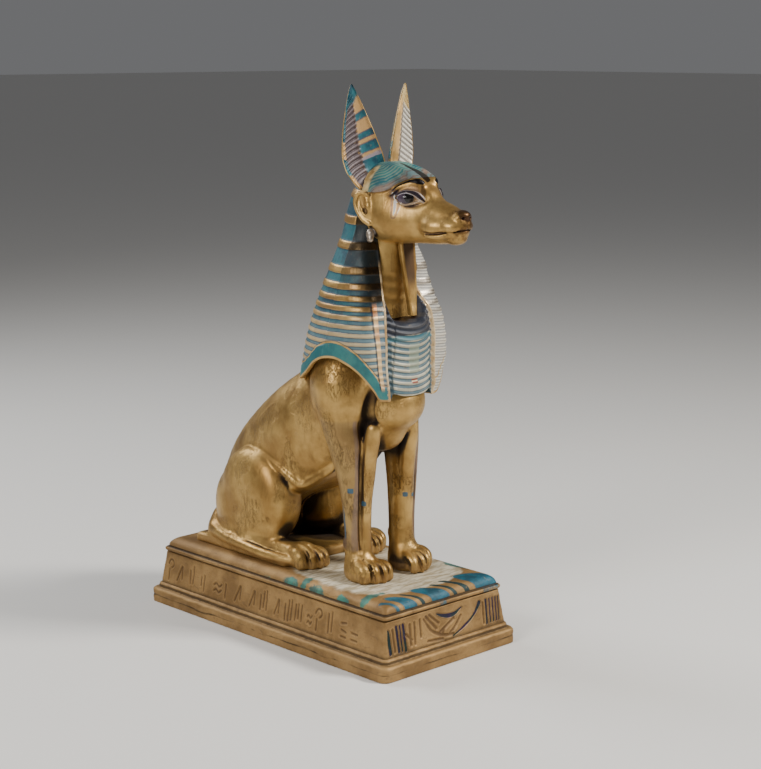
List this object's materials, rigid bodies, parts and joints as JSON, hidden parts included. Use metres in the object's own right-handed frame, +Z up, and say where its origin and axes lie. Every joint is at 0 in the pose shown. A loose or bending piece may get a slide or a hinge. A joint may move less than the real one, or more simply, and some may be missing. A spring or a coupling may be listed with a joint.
{
  "type": "seated jackal statue",
  "caption": "Upright seated jackal wearing a striped head cloth with tall ears, carved with its ground slab and set on a stepped rectangular plinth with a cushioned top.",
  "frame": {"origin": "centre of the plinth's flat underside", "axes": "+Z up, -Y the way the jackal looks, -X its right side, the side with the tail"},
  "size_m": [0.2, 0.4132, 0.5987],
  "materials": {
    "gilded_figure": "carved wood, gilded and painted in teal, cream and lilac-grey, worn",
    "plinth_gold": "carved wood, matt gold-brown with painted stripes on its cushioned top"
  },
  "bodies": {
    "root": {"jackal": "gilded_figure", "plinth": "plinth_gold"}
  },
  "joints": []
}
